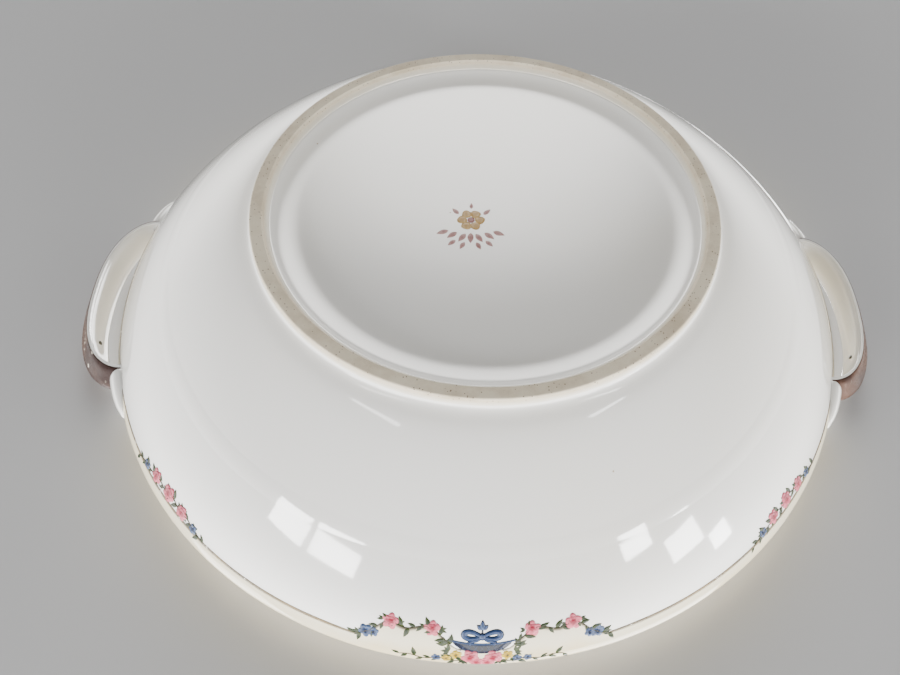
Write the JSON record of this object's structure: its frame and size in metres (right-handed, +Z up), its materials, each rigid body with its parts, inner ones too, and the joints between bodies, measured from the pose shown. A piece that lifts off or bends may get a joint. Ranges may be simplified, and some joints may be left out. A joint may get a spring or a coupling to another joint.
{
  "type": "serving bowl",
  "caption": "Shallow round porcelain serving bowl with two side loop handles, on a recessed foot ring, with a gilt border and flower garlands.",
  "frame": {"origin": "centre of the foot ring's standing face, under the middle of the bowl", "axes": "+Z up along the bowl's axis, handles along X, the front garland towards -Y"},
  "size_m": [0.2566, 0.2333, 0.0532],
  "materials": {
    "glaze": "clear glossy glaze over warm white porcelain",
    "foot": "bare biscuit on the standing face, glazed on both sides",
    "border": "cream ground colour under glaze",
    "gold": "thin fired gold, lightly rubbed",
    "worn_gold": "brown-gold, worn through at the edges",
    "transfer": "fired enamel transfer of roses, leaves and blue flowers",
    "mark": "fired one-colour print"
  },
  "bodies": {
    "root": {"bowl_body": "glaze", "foot_ring": "foot", "left_handle": "glaze", "right_handle": "glaze", "rim_gilding": "gold", "cream_border": "border", "gold_line": "gold", "left_handle_gilding": "worn_gold", "right_handle_gilding": "worn_gold", "front_garland": "transfer", "back_garland": "transfer", "front_left_spray": "transfer", "front_right_spray": "transfer", "back_left_spray": "transfer", "back_right_spray": "transfer", "base_mark": "mark"}
  },
  "joints": []
}
